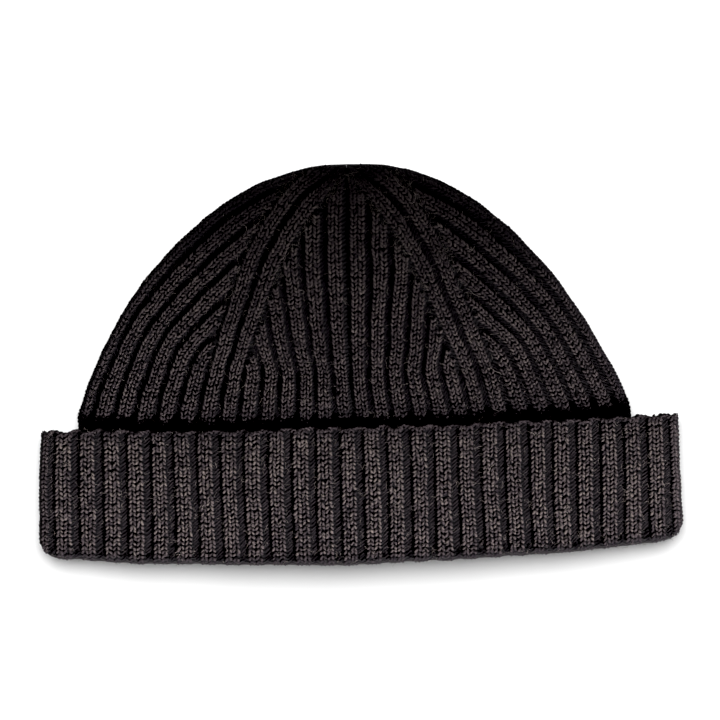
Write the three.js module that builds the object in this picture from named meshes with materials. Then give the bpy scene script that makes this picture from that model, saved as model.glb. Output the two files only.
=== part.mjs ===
// A short ribbed wool hat with a turned-up cuff, lying on its back with its front up.
// X runs along the cuff, Y from the fold at the rim to the top of the crown, Z up from the surface.
// Units are millimetres. The knit is one tube: the cuff is its rim turned up over the body, and the
// crown is four gores whose ribs end along the seams between them and meet at the top.

import * as THREE from "three";
import { mergeVertices } from "three/addons/utils/BufferGeometryUtils.js";

// Sizes of the flat hat
const cuffWidth = 240;
const cuffDepth = 51.2; // from the fold to the top edge, on the centre line
const cuffEndDepth = 47.3; // the same at the side folds
const cuffTopDip = 1.5; // how far the top edge hangs in the middle
const crownWidth = 210.8; // where the crown comes out of the cuff
const crownRise = 98.4; // from the cuff's top edge to the top of the crown
const crownShift = -1.6; // of the crown to the right of the cuff's middle, so here to the left
const crownBow = -1.6; // how much further its middle line bows that way halfway up
const crownArch = 8.8; // how far the front arches over the hollow
const settleLength = 25; // the crown comes down to the surface over this length

// Sizes of the knit
const wall = 3;
const ribRelief = 1.4;
const layerGap = 0.3; // between the cuff's outer wall and the body in it
const foldSlack = 0.3; // half of the hollow that is left at a side fold
const joinDepth = 6; // the crown ends this far below the cuff's top edge
const joinGap = 0.3;
const edgeRound = 0.8; // of the cuff's bound-off top edge

// Ribs: a gore has this many on each side of its middle, and the one beside the seam runs to the top
const ribsInHalfGore = 7;
const endingRibs = ribsInHalfGore - 1;
const ribsInQuarter = 2 * ribsInHalfGore;
const ribsAround = 4 * ribsInQuarter;

// Across one rib: the gutter's bottom, then the two edges of its raised top
const ribColumns = [
  { place: 0, depth: 1 },
  { place: 0.2, depth: 0 },
  { place: 0.8, depth: 0 },
];

// Roundness of the silhouette, as powers: across the crown, up it, and of the arch over the hollow
const sideRoundness = 2.1;
const topRoundness = 1.27;
const archRoundness = 1;

// Rungs across half a crown, from the cuff's top edge (along 0) to the top (along 1). Each meets the
// seam at the height along, and gives the height where it meets the side fold, the place of the seam
// and the height on the middle line, as shares of the crown's rise and half width, and how many of
// the ending ribs are left there.
const rungTable = [
  { along: 0.0, sideRise: 0.0, seamAcross: 0.484, middleRise: 0.0, ribsLeft: 6 },
  { along: 0.19, sideRise: 0.37, seamAcross: 0.447, middleRise: 0.145, ribsLeft: 6 },
  { along: 0.32, sideRise: 0.548, seamAcross: 0.408, middleRise: 0.257, ribsLeft: 5 },
  { along: 0.46, sideRise: 0.69, seamAcross: 0.36, middleRise: 0.39, ribsLeft: 4 },
  { along: 0.6, sideRise: 0.802, seamAcross: 0.312, middleRise: 0.53, ribsLeft: 3 },
  { along: 0.745, sideRise: 0.896, seamAcross: 0.238, middleRise: 0.685, ribsLeft: 2 },
  { along: 0.865, sideRise: 0.957, seamAcross: 0.158, middleRise: 0.825, ribsLeft: 1 },
  { along: 1.0, sideRise: 1.0, seamAcross: 0.0, middleRise: 1.0, ribsLeft: 0 },
];
const seamStart = rungTable[1].along; // the ribs start to end here
const seamAcrossAtFold = 0.508; // of the body's half width, where all ribs are still as wide

// Rows of facets
const crownRows = { outside: 9, inside: 4 };
const foldTurns = [0, Math.PI / 3, (2 * Math.PI) / 3, Math.PI];

// What follows from the sizes
const bodyFoldRadius = wall + foldSlack;
const cuffFoldRadius = bodyFoldRadius + layerGap + wall;
const bodyLift = cuffFoldRadius - bodyFoldRadius;
const rimFoldRadius = wall + layerGap / 2;
const cuffHalfWidth = cuffWidth / 2;
const crownHalfWidth = crownWidth / 2;
const bodyHalfWidthAtFold = cuffHalfWidth - wall - layerGap;
const quarterTurnExtra = Math.PI / 2 - 1; // a quarter arc's length over its radius, less 1

const mix = THREE.MathUtils.lerp;

function clamp(value) {
  return THREE.MathUtils.clamp(value, 0, 1);
}

// Monotone cubic through one column of the rung table
function secant(name, row) {
  const lower = rungTable[row];
  const upper = rungTable[row + 1];
  return (upper[name] - lower[name]) / (upper.along - lower.along);
}

function slopeAt(name, row) {
  const last = rungTable.length - 1;
  if (row === 0) return secant(name, 0);
  if (row === last) return secant(name, last - 1);
  const before = secant(name, row - 1);
  const after = secant(name, row);
  return before * after > 0 ? (2 * before * after) / (before + after) : 0;
}

function readRungs(name, along) {
  let row = 0;
  while (row < rungTable.length - 2 && along > rungTable[row + 1].along) row += 1;
  const lower = rungTable[row];
  const upper = rungTable[row + 1];
  const span = upper.along - lower.along;
  const t = (along - lower.along) / span;
  const bend = t * t * (3 - 2 * t);
  const leave = t * (1 - t) * (1 - t) * span * slopeAt(name, row);
  const arrive = t * t * (t - 1) * span * slopeAt(name, row + 1);
  return mix(lower[name], upper[name], bend) + leave + arrive;
}

// Where the rib at this count from the gore's middle ends on the rib beside the seam
function endOfRib(rib) {
  let low = seamStart;
  let high = 1;
  for (let halving = 0; halving < 50; halving += 1) {
    const between = (low + high) / 2;
    if (readRungs("ribsLeft", between) > rib) low = between;
    else high = between;
  }
  return rib === 0 ? 1 : (low + high) / 2;
}

// The body widens under the cuff: heights there are below 0, which is the cuff's top edge
function hiddenShare(height) {
  return clamp(-height / cuffDepth);
}

function bodyHalfWidth(height) {
  return mix(crownHalfWidth, bodyHalfWidthAtFold, hiddenShare(height) ** topRoundness);
}

// Each form is a flattened tube: reach is 0 on its middle line and 1 on its side folds
const body = {
  foldRadius: bodyFoldRadius,
  reach(x, y) {
    if (y <= 0) return (x / bodyHalfWidth(y)) ** sideRoundness;
    return (x / crownHalfWidth) ** sideRoundness + (y / crownRise) ** topRoundness;
  },
  middle(y) {
    return bodyFoldRadius + bodyLift * THREE.MathUtils.smoothstep(-y, -settleLength, 0);
  },
  shift(y) {
    const climb = clamp(y / crownRise);
    return crownShift * (1 - hiddenShare(y)) + 4 * crownBow * climb * (1 - climb);
  },
};
const cuffTube = {
  foldRadius: cuffFoldRadius,
  reach: (x) => (x / cuffHalfWidth) ** sideRoundness,
  middle: () => cuffFoldRadius,
  shift: () => 0,
};

// A point of a form's surface over the plan point x, y of its right half, inset along its normal,
// or level under the cuff, where the walls are cut square.
// layer is 1 on the front and -1 on the back, side is 1 on the right and -1 on the left.
function surfacePoint(form, x, y, inset, layer, side) {
  const step = 0.01;
  const slopeX = (form.reach(x + step, y) - form.reach(Math.max(x - step, 0), y)) / (2 * step);
  const slopeY = y > 0 ? (form.reach(x, y + step) - form.reach(x, y - step)) / (2 * step) : 0;
  const slope = Math.max(Math.hypot(slopeX, slopeY), 1e-6);
  const reach = Math.min(form.reach(x, y), 1);
  const outward = clamp(1 - (1 - reach) / slope / form.foldRadius);
  const upward = Math.sqrt(1 - outward ** 2);
  const arch = layer > 0 ? crownArch * (1 - reach) ** archRoundness : 0;
  const rise = (form.foldRadius - inset) * upward + arch;
  return new THREE.Vector3(
    side * (x - (inset * outward * slopeX) / slope) + form.shift(y),
    y - (inset * outward * slopeY) / slope,
    form.middle(y) + layer * rise,
  );
}

// How far from a side fold, in plan, a point lies that is this far round from it
function planFromFold(around, radius) {
  if (around < (Math.PI / 2) * radius) return radius * (1 - Math.cos(around / radius));
  return around - quarterTurnExtra * radius;
}

// The plan point of a rib, counted from its gore's middle, on the rung at this share of the crown.
// A share below 0 lies under the cuff.
function bodyPlan(gore, rib, along) {
  const height = along * crownRise;
  const shown = along > 0;
  const sideRise = shown ? Math.min(readRungs("sideRise", along), 1) : 0;
  const halfWidth = bodyHalfWidth(height);
  const seamShare = mix(rungTable[0].seamAcross, seamAcrossAtFold, hiddenShare(height));
  const sideShare = (1 - sideRise ** topRoundness) ** (1 / sideRoundness);
  const side = shown ? [sideShare * crownHalfWidth, sideRise * crownRise] : [halfWidth, height];
  const seam = [shown ? readRungs("seamAcross", along) * crownHalfWidth : seamShare * halfWidth, height];
  const left = shown ? readRungs("ribsLeft", along) : endingRibs;
  const share = (rib > endingRibs ? left + rib - endingRibs : Math.min(rib, left)) / (left + 1);
  if (gore === "front") {
    const middleHeight = shown ? readRungs("middleRise", along) * crownRise : height;
    return [share * seam[0], mix(middleHeight, seam[1], share)];
  }
  const length = Math.hypot(side[0] - seam[0], side[1] - seam[1]);
  const radius = Math.min(bodyFoldRadius, length / 2);
  const around = share * (length + quarterTurnExtra * radius);
  const toSeam = length > 0 ? planFromFold(around, radius) / length : 0;
  return [mix(side[0], seam[0], toSeam), mix(side[1], seam[1], toSeam)];
}

// Counts of the facet columns: three to a rib
function columnPlace(column) {
  return Math.floor(column / ribColumns.length) + ribColumns[column % ribColumns.length].place;
}

function columnDepth(column) {
  return ribColumns[column % ribColumns.length].depth;
}

// Triangles between rows of points, with the face side turned over where flipped
function addGrid(corners, rows, flipped) {
  for (let row = 0; row + 1 < rows.length; row += 1) {
    for (let column = 0; column + 1 < rows[row].length; column += 1) {
      const a = rows[row][column];
      const b = rows[row][column + 1];
      const c = rows[row + 1][column + 1];
      const d = rows[row + 1][column];
      corners.push(...(flipped ? [a, c, b, a, d, c] : [a, b, c, a, c, d]));
    }
  }
}

// One closed solid from loose triangles: shared corners are merged and empty triangles dropped
function solidFrom(corners) {
  const loose = new THREE.BufferGeometry().setFromPoints(corners);
  const merged = mergeVertices(loose, 1e-4);
  const order = merged.getIndex().array;
  const kept = [];
  for (let first = 0; first < order.length; first += 3) {
    const [a, b, c] = order.slice(first, first + 3);
    if (a !== b && b !== c && c !== a) kept.push(a, b, c);
  }
  merged.setIndex(kept);
  merged.computeVertexNormals();
  return merged;
}

// Half a gore of the crown on one side and layer, as rows of points from the bottom up.
// The field holds the ribs that end on the way up, and the border the one beside the seam.
function halfGore(gore, shell, layer, side) {
  const rows = crownRows[shell];
  const bottom = -joinDepth / crownRise;
  const lastColumn = endingRibs * ribColumns.length;
  const point = (rib, along, depth) => {
    const [x, y] = bodyPlan(gore, rib, along);
    const gutter = along < 1 ? ribRelief * depth : 0; // all ribs meet in one point at the top
    return surfacePoint(body, x, y, shell === "inside" ? wall : gutter, layer, side);
  };
  const rowAlong = (row, end) => (row === 0 ? bottom : mix(0, end, (row - 1) / (rows - 1)));

  const field = [];
  for (let row = 0; row <= rows; row += 1) {
    const line = [];
    for (let column = 0; column <= lastColumn; column += 1) {
      const rib = columnPlace(column);
      line.push(point(rib, rowAlong(row, endOfRib(rib)), columnDepth(column)));
    }
    field.push(line);
  }

  const border = [];
  const borderLine = (along, innerDepth) =>
    [0, 1, 2, 3].map((column) => {
      const rib = endingRibs + columnPlace(column);
      return point(rib, along, column === 0 ? innerDepth : columnDepth(column));
    });
  for (let row = 0; row <= rows; row += 1) {
    border.push(borderLine(rowAlong(row, endOfRib(endingRibs)), 1));
  }
  for (let column = lastColumn - 1; column >= 0; column -= 1) {
    border.push(borderLine(endOfRib(columnPlace(column)), columnDepth(column)));
  }
  return { field, border };
}

function crown() {
  const corners = [];
  for (const side of [1, -1]) {
    for (const layer of [1, -1]) {
      for (const gore of ["front", "side"]) {
        const mirrored = side * layer * (gore === "front" ? 1 : -1) < 0;
        const outside = halfGore(gore, "outside", layer, side);
        const inside = halfGore(gore, "inside", layer, side);
        for (const part of ["field", "border"]) {
          addGrid(corners, outside[part], mirrored);
          addGrid(corners, inside[part], !mirrored);
          addGrid(corners, [inside[part][0], outside[part][0]], mirrored);
        }
      }
    }
  }
  return solidFrom(corners);
}

// The rib count around the whole hat, folded to a quarter: counted from the nearest middle line
function quarterOf(rib) {
  const quarter = Math.floor(rib / ribsInQuarter) % 4;
  const within = rib - quarter * ribsInQuarter;
  return {
    rib: quarter % 2 === 0 ? within : ribsInQuarter - within,
    layer: quarter === 0 || quarter === 3 ? 1 : -1,
    side: quarter < 2 ? 1 : -1,
  };
}

// The cuff's fold and top edge are bowed: their heights at a place across the hat
function cuffFoldHeight(x) {
  const bow = 1 - (x / cuffHalfWidth) ** 2;
  return -mix(cuffEndDepth, cuffDepth, bow) - cuffTopDip * bow;
}

function cuffTopHeight(x) {
  return -cuffTopDip * (1 - (x / cuffHalfWidth) ** 2);
}

// A point of the cuff's outer wall or its fold, at the height that heightAt gives across the hat
function cuffPoint(rib, inset, heightAt) {
  const spot = quarterOf(rib);
  const length = cuffHalfWidth + quarterTurnExtra * cuffFoldRadius;
  const around = length * (1 - spot.rib / ribsInQuarter);
  const x = cuffHalfWidth - planFromFold(around, cuffFoldRadius);
  const point = surfacePoint(cuffTube, x, 0, inset, spot.layer, spot.side);
  point.y = heightAt(x);
  return point;
}

// A point of the body's wall inside the cuff, at a share of the way from the fold up to the join
function innerWallPoint(rib, inset, share) {
  const spot = quarterOf(rib);
  const join = -joinDepth - joinGap;
  const height = mix(-cuffDepth, join, share);
  const gore = spot.rib <= ribsInHalfGore ? "front" : "side";
  const fromMiddle = gore === "front" ? spot.rib : ribsInQuarter - spot.rib;
  const [x] = bodyPlan(gore, fromMiddle, height / crownRise);
  const point = surfacePoint(body, x, height, inset, spot.layer, spot.side);
  point.y = mix(cuffFoldHeight(x) + rimFoldRadius, join, share);
  return point;
}

// The cuff's section, as lines round the hat: down the outer wall, under the fold, up the inner
// wall's inner face, down its outer face, and up the outer wall's inner face to the bound-off edge
function cuff() {
  const columns = ribsAround * ribColumns.length;
  const half = 0.5;
  const belowEdge = (x) => cuffTopHeight(x) - edgeRound;
  const halfway = (x) => mix(cuffFoldHeight(x), cuffTopHeight(x), half);
  const bottomOfGap = (x) => cuffFoldHeight(x) + rimFoldRadius;
  const lines = [
    (rib, depth) => cuffPoint(rib, ribRelief * depth, belowEdge),
    (rib, depth) => cuffPoint(rib, ribRelief * depth, halfway),
    ...foldTurns.map((turn) => (rib, depth) => {
      const relief = (ribRelief * depth * (1 + Math.cos(turn))) / 2;
      const inset = rimFoldRadius * (1 - Math.cos(turn)) + relief;
      return cuffPoint(rib, inset, (x) => cuffFoldHeight(x) + rimFoldRadius * (1 - Math.sin(turn)));
    }),
    (rib) => innerWallPoint(rib, wall, half),
    (rib) => innerWallPoint(rib, wall, 1),
    (rib, depth) => innerWallPoint(rib, ribRelief * depth, 1),
    (rib, depth) => innerWallPoint(rib, ribRelief * depth, half),
    (rib) => cuffPoint(rib, wall + layerGap, bottomOfGap),
    (rib) => cuffPoint(rib, wall, bottomOfGap),
    (rib) => cuffPoint(rib, wall, belowEdge),
    (rib) => cuffPoint(rib, wall - edgeRound, cuffTopHeight),
    (rib, depth) => cuffPoint(rib, Math.max(edgeRound, ribRelief * depth), cuffTopHeight),
  ];
  const rows = lines.map((line) => {
    const points = [];
    for (let column = 0; column <= columns; column += 1) {
      points.push(line(columnPlace(column % columns), columnDepth(column)));
    }
    return points;
  });
  const corners = [];
  addGrid(corners, [...rows, rows[0]], true);
  return solidFrom(corners);
}

function node(name, geometry, colour) {
  const material = new THREE.MeshStandardMaterial({ color: colour, roughness: 1, metalness: 0 });
  const mesh = new THREE.Mesh(geometry, material);
  mesh.name = name;
  return mesh;
}

const hat = new THREE.Group();
hat.add(node("crown", crown(), 0x38312f));
hat.add(node("cuff", cuff(), 0x403936));

// The origin is on the surface, under the middle of the hat's box
const box = new THREE.Box3().setFromObject(hat);
const centre = box.getCenter(new THREE.Vector3());
hat.position.set(-centre.x, -centre.y, -box.min.z);

const model = new THREE.Group();
model.add(hat);
export default model;
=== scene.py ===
import math

import bpy
import numpy as np
from mathutils import Matrix, Vector


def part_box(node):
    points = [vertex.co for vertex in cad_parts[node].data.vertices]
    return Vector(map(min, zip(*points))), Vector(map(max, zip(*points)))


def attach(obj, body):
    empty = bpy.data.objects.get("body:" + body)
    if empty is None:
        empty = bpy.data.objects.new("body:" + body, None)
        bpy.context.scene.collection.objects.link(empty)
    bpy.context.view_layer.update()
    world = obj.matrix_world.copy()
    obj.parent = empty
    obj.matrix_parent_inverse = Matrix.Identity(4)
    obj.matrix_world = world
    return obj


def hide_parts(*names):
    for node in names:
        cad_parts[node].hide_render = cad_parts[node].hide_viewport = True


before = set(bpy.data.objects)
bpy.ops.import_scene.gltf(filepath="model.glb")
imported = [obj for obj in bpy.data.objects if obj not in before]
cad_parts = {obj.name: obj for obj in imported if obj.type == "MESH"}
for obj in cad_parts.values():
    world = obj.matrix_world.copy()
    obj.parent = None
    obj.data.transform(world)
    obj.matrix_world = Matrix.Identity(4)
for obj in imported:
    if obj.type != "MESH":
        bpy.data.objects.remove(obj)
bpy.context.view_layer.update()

# Everything below is worked out in millimetres and turned into metres where a mesh is made
MM = 0.001
cuff_low, cuff_high = (np.array(corner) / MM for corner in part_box("cuff"))
crown_low, crown_high = (np.array(corner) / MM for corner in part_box("crown"))

# Sizes of the flat hat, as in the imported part, except that the walls all but meet at the join.
# Heights on it count from the cuff's top edge.
EDGE_Y = cuff_high[1]
CROWN_RISE = crown_high[1] - cuff_high[1]
CUFF_HALF_WIDTH = 120.0
CROWN_HALF_WIDTH = 105.4
CROWN_SHIFT = -1.6
CROWN_BOW = -1.6
CROWN_ARCH = 8.8
CUFF_DEPTH = 51.2
CUFF_END_DEPTH = 47.3
CUFF_TOP_DIP = 1.5
SETTLE_LENGTH = 25.0
WALL = 3.0
LAYER_GAP = 0.3
FOLD_SLACK = 0.3
JOIN_DEPTH = 6.0
JOIN_GAP = 0.02
SIDE_ROUNDNESS = 2.1
TOP_ROUNDNESS = 1.27

BODY_FOLD_RADIUS = WALL + FOLD_SLACK
CUFF_FOLD_RADIUS = BODY_FOLD_RADIUS + LAYER_GAP + WALL
RIM_FOLD_RADIUS = WALL + LAYER_GAP / 2
BODY_HALF_WIDTH_AT_FOLD = CUFF_HALF_WIDTH - WALL - LAYER_GAP
QUARTER_TURN_EXTRA = math.pi / 2 - 1

# Ribs of the gores and of the whole hat
RIBS_IN_HALF_GORE = 7
ENDING_RIBS = RIBS_IN_HALF_GORE - 1
RIBS_IN_QUARTER = 2 * RIBS_IN_HALF_GORE
RIBS_AROUND = 4 * RIBS_IN_QUARTER

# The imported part's rungs, from the cuff's top edge to the top of the crown
RUNGS = {
    "along": [0.0, 0.19, 0.32, 0.46, 0.6, 0.745, 0.865, 1.0],
    "side_rise": [0.0, 0.37, 0.548, 0.69, 0.802, 0.896, 0.957, 1.0],
    "seam_across": [0.484, 0.447, 0.408, 0.36, 0.312, 0.238, 0.158, 0.0],
    "middle_rise": [0.0, 0.145, 0.257, 0.39, 0.53, 0.685, 0.825, 1.0],
    "ribs_left": [6.0, 6.0, 5.0, 4.0, 3.0, 2.0, 1.0, 0.0],
}
SEAM_START = RUNGS["along"][1]
SEAM_ACROSS_AT_FOLD = 0.508


def smooth(low, high, value):
    """0 below low, 1 above high and smooth between."""
    t = np.clip((value - low) / (high - low), 0, 1)
    return t * t * (3 - 2 * t)


class Knit:
    """One part's knit, in ribs and millimetres: a rib is two wales of knit stitches, and a gutter
    beside it shows the purl bars between."""

    def __init__(self, wale, gutter_flat, gutter_top, relief, rounding, bar_girth, bar_painted_shade):
        self.wale = wale
        self.wales = (0.5 - wale / 2, 0.5 + wale / 2)
        self.gutter_flat = gutter_flat
        self.gutter_top = gutter_top
        self.relief = relief
        self.rounding = rounding
        self.bar_girth = bar_girth
        self.bar_painted_shade = bar_painted_shade

    def depth(self, rib):
        """How deep the knit lies at a place counted in ribs: 1 in a gutter, 0 on a rib."""
        return 1 - smooth(self.gutter_flat, self.gutter_top, np.abs(rib - np.round(rib)))

    def inset(self, rib, standing=1.0):
        """The inset of the knit's face at a place counted in ribs, where the ribs stand this much."""
        from_middle = (0.5 - np.abs(rib - np.round(rib))) / 0.5
        return (self.relief * self.depth(rib) + self.rounding * from_middle**2) * standing


# The last value paints the purl bars in the gutters darker, as painted shade
CROWN_KNIT = Knit(
    wale=0.35, gutter_flat=0.07, gutter_top=0.17, relief=1.65, rounding=0.25, bar_girth=0.5, bar_painted_shade=0.12
)
CUFF_KNIT = Knit(
    wale=0.32, gutter_flat=0.11, gutter_top=0.20, relief=1.5, rounding=0.25, bar_girth=0.5, bar_painted_shade=0.45
)
ROW_PITCH = 1.55
BAR_PITCH = 1.3
YARN_RADIUS = 0.45

# The cores under the stitches: grid steps in a rib, how far they lie inside the nominal face, and how
# far the ribs stand on their inner faces
STEPS_IN_RIB = 8
CORE_INSET = 0.7
INNER_RELIEF = 0.9

# On the side folds and the fold at the rim the core lies fuller, its ribs stand this share of their
# relief, the stitches sink into it, and its painted shade is less by this share, which paints it lighter
FOLD_CORE_INSET = 0.12
FOLD_STANDING = 0.12
FOLD_SINK = 0.36
FOLD_PAINTED_LIGHT = 0.12
TOP_STANDING = 0.15

# How far the cuff presses the body in where it comes out of it, and up to what height
EDGE_SINK = 1.0
EDGE_SINK_LENGTH = 5.0

# The cuff's top edge lies this far down and is scalloped; its lower corners are round and its ends
# stand out a little, more at the rim
EDGE_DROP = 0.9
EDGE_SCALLOP = 0.45
EDGE_CURVE = 0.7
CORNER_ROUND = 6.0
END_SHIFT = {"left": 0.2, "right": 0.7}
END_FLARE = {"left": 1.8, "right": 0.1}

# Every random draw comes from this one seeded source
random = np.random.default_rng(7)


def waves(number, shortest, longest):
    """Sine waves in any direction across the hat, with the directions in which they push."""
    length = random.uniform(shortest, longest, (number, 1))
    heading = random.uniform(0, 2 * math.pi, number)
    along = np.stack([np.cos(heading), np.sin(heading), np.zeros(number)], axis=1) * 2 * math.pi / length
    push = random.normal(0, 1, (number, 3)) / math.sqrt(number)
    return {"along": along, "start": random.uniform(0, 2 * math.pi, number), "push": push}


# Fine and broad waves, each with how far they push, and the floor that the hat is pressed flat on
UNEVENNESS = ((waves(12, 7, 16), 0.16), (waves(10, 25, 60), 0.30))
FLOOR_GAP = 0.04
FLOOR_SOFTNESS = 0.22


def read_rungs(name, along):
    """One column of the rungs, by a monotone cubic."""
    places = np.array(RUNGS["along"])
    values = np.array(RUNGS[name])
    secants = np.diff(values) / np.diff(places)
    products = secants[:-1] * secants[1:]
    sums = secants[:-1] + secants[1:]
    inner = np.where(products > 0, 2 * products / np.where(sums == 0, 1, sums), 0)
    slopes = np.concatenate([secants[:1], inner, secants[-1:]])
    row = np.clip(np.searchsorted(places, along, side="left") - 1, 0, len(places) - 2)
    span = places[row + 1] - places[row]
    t = (along - places[row]) / span
    bend = t * t * (3 - 2 * t)
    leave = t * (1 - t) ** 2 * span * slopes[row]
    arrive = t * t * (t - 1) * span * slopes[row + 1]
    return values[row] + (values[row + 1] - values[row]) * bend + leave + arrive


def end_of_rib(rib):
    """Where a rib, counted from its gore's middle, ends beside the seam."""
    fine = np.linspace(SEAM_START, 1, 2001)
    left = read_rungs("ribs_left", fine)
    return np.interp(-np.asarray(rib, float), -left, fine)


def hidden_share(height):
    """0 at the cuff's top edge and above it, and 1 at the fold at the rim."""
    return np.clip(-height / CUFF_DEPTH, 0, 1)


def body_half_width(height):
    """Half the body's width at its base and inside the cuff, where it widens towards the rim."""
    growth = hidden_share(height) ** TOP_ROUNDNESS
    return CROWN_HALF_WIDTH + (BODY_HALF_WIDTH_AT_FOLD - CROWN_HALF_WIDTH) * growth


class Body:
    """The crown and the wall that carries it on inside the cuff."""

    fold_radius = BODY_FOLD_RADIUS

    @staticmethod
    def reach(x, y):
        above = np.maximum(y, 0)
        return (x / body_half_width(y)) ** SIDE_ROUNDNESS + (above / CROWN_RISE) ** TOP_ROUNDNESS

    @staticmethod
    def middle(y):
        lift = CUFF_FOLD_RADIUS - BODY_FOLD_RADIUS
        return BODY_FOLD_RADIUS + lift * smooth(-SETTLE_LENGTH, 0, -y)

    @staticmethod
    def shift(y):
        climb = np.clip(y / CROWN_RISE, 0, 1)
        return CROWN_SHIFT * (1 - hidden_share(y)) + 4 * CROWN_BOW * climb * (1 - climb)


class CuffTube:
    """The cuff's outer wall."""

    fold_radius = CUFF_FOLD_RADIUS

    @staticmethod
    def reach(x, y):
        return (x / CUFF_HALF_WIDTH) ** SIDE_ROUNDNESS

    @staticmethod
    def middle(y):
        return CUFF_FOLD_RADIUS

    @staticmethod
    def shift(y):
        return 0.0


def surface(form, x, y, inset, layer, side):
    """Points of a form's surface over plan points of its right half, inset along its normal."""
    x, y, inset, layer, side = np.broadcast_arrays(x, y, inset, layer, side)
    step = 0.01
    slope_x = (form.reach(x + step, y) - form.reach(np.maximum(x - step, 0), y)) / (2 * step)
    slope_y = (form.reach(x, y + step) - form.reach(x, y - step)) / (2 * step)
    slope_y = np.where(y > 0, slope_y, 0)
    slope = np.maximum(np.hypot(slope_x, slope_y), 1e-6)
    reach = np.minimum(form.reach(x, y), 1)
    outward = np.clip(1 - (1 - reach) / slope / form.fold_radius, 0, 1)
    upward = np.sqrt(1 - outward**2)
    arch = np.where(layer > 0, CROWN_ARCH * (1 - reach), 0)
    rise = (form.fold_radius - inset) * upward + arch
    across = side * (x - inset * outward * slope_x / slope) + form.shift(y)
    along = y - inset * outward * slope_y / slope
    return np.stack([across, along + EDGE_Y, form.middle(y) + layer * rise], axis=-1)


def plan_from_fold(around, radius):
    """How far from a side fold, in plan, a point lies that is this far round from it."""
    turned = radius * (1 - np.cos(np.minimum(around / radius, math.pi / 2)))
    return np.where(around < math.pi / 2 * radius, turned, around - QUARTER_TURN_EXTRA * radius)


def body_plan(gore, rib, along):
    """Plan points of ribs, counted from the gore's middle, on rungs at these shares of the crown."""
    rib, along = np.broadcast_arrays(np.asarray(rib, float), np.asarray(along, float))
    shown = along > 0
    climb = np.clip(along, 0, 1)
    height = along * CROWN_RISE
    side_rise = np.minimum(read_rungs("side_rise", climb), 1)
    side_share = (1 - side_rise**TOP_ROUNDNESS) ** (1 / SIDE_ROUNDNESS)
    side_x = np.where(shown, side_share * CROWN_HALF_WIDTH, body_half_width(height))
    side_y = np.where(shown, side_rise * CROWN_RISE, height)
    at_edge = RUNGS["seam_across"][0]
    seam_share = at_edge + (SEAM_ACROSS_AT_FOLD - at_edge) * hidden_share(height)
    seam_shown = read_rungs("seam_across", climb) * CROWN_HALF_WIDTH
    seam_x = np.where(shown, seam_shown, seam_share * body_half_width(height))
    left = np.where(shown, read_rungs("ribs_left", climb), ENDING_RIBS)
    counted = np.where(rib > ENDING_RIBS, left + rib - ENDING_RIBS, np.minimum(rib, left))
    share = counted / (left + 1)
    if gore == "front":
        middle_y = np.where(shown, read_rungs("middle_rise", climb) * CROWN_RISE, height)
        return share * seam_x, middle_y + (height - middle_y) * share
    length = np.maximum(np.hypot(side_x - seam_x, side_y - height), 1e-6)
    radius = np.minimum(BODY_FOLD_RADIUS, length / 2)
    around = share * (length + QUARTER_TURN_EXTRA * radius)
    to_seam = plan_from_fold(around, radius) / length
    return side_x + (seam_x - side_x) * to_seam, side_y + (height - side_y) * to_seam


def crown_point(gore, rib, along, inset, layer, side):
    """Points of the crown, which the cuff presses in a little where it comes out of it."""
    x, y = body_plan(gore, rib, along)
    pressed = EDGE_SINK * (1 - smooth(0, EDGE_SINK_LENGTH, y))
    return surface(Body, x, y, inset + pressed, layer, side)


def from_fold(gore, rib):
    """0 on a side fold of the crown and 1 from a rib away."""
    return smooth(0.12, 0.6, rib) if gore == "side" else np.ones(np.shape(rib))


def crown_standing(gore, rib, along):
    """How much the crown's ribs stand: less on the side folds and where they meet at the top."""
    at_fold = FOLD_STANDING + (1 - FOLD_STANDING) * from_fold(gore, rib)
    return at_fold * (1 - (1 - TOP_STANDING) * smooth(0.93, 1.0, along))


def quarter_of(rib):
    """Counts round the whole hat as counts from the nearest middle line, with their layer and side."""
    quarter = np.floor(rib / RIBS_IN_QUARTER).astype(int) % 4
    within = rib % RIBS_IN_QUARTER
    counted = np.where(quarter % 2 == 0, within, RIBS_IN_QUARTER - within)
    layer = np.where((quarter == 0) | (quarter == 3), 1, -1)
    side = np.where(quarter < 2, 1, -1)
    return counted, layer, side


def cuff_from_fold(rib):
    """0 on a side fold of the cuff and 1 from a rib away."""
    counted, _, _ = quarter_of(rib)
    return smooth(0.25, 0.95, RIBS_IN_QUARTER - counted)


def cuff_from_edges(rib, down):
    """0 on the cuff's side folds and on the fold at the rim, and 1 away from them."""
    x, _, _ = cuff_plan(rib)
    turn = (down - cuff_straight(x)) / RIM_FOLD_RADIUS
    return cuff_from_fold(rib) * (1 - smooth(-0.4, 0.75, turn))


def cuff_standing(rib, down):
    """How much the cuff's ribs stand: less on its folds."""
    return FOLD_STANDING + (1 - FOLD_STANDING) * cuff_from_edges(rib, down)


def core_inset(away_from_fold):
    """How far a core lies inside the knit's nominal face, given 0 on a fold to 1 away from it."""
    return FOLD_CORE_INSET + (CORE_INSET - FOLD_CORE_INSET) * away_from_fold


def cuff_plan(rib):
    """The place across the hat of ribs counted round it, on the cuff's outer wall."""
    counted, layer, side = quarter_of(rib)
    length = CUFF_HALF_WIDTH + QUARTER_TURN_EXTRA * CUFF_FOLD_RADIUS
    around = length * (1 - counted / RIBS_IN_QUARTER)
    return CUFF_HALF_WIDTH - plan_from_fold(around, CUFF_FOLD_RADIUS), layer, side


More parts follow.
